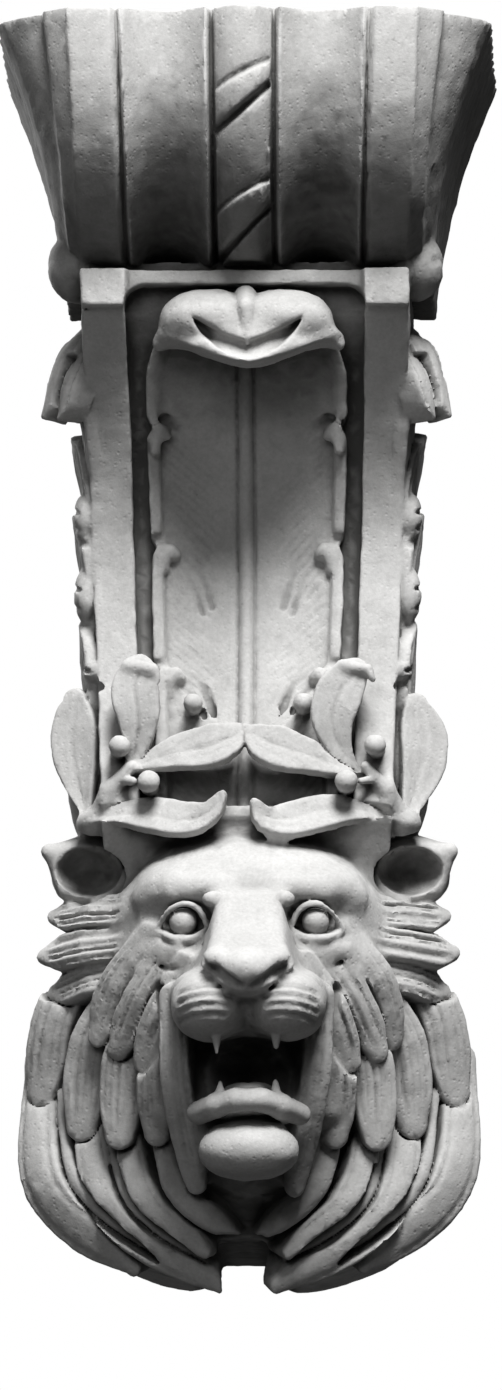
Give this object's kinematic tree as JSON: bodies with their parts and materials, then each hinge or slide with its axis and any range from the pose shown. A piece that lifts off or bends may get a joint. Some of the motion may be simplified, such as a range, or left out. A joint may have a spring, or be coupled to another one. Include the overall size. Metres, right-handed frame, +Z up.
{
  "type": "stone corbel",
  "caption": "Carved stone corbel: fluted scroll over a panelled console with a curled leaf, laurel sprays and a roaring lion's head with a tiered mane.",
  "frame": {"origin": "on the flat wall face, on the centreline, at the middle of the height", "axes": "+X across the face to the viewer's right, +Y into the wall, +Z up"},
  "size_m": [0.496, 0.5244, 1.2488],
  "materials": {
    "stone": "matt, tooled and lightly weathered limestone"
  },
  "bodies": {
    "root": {"corbel": "stone"}
  },
  "joints": []
}
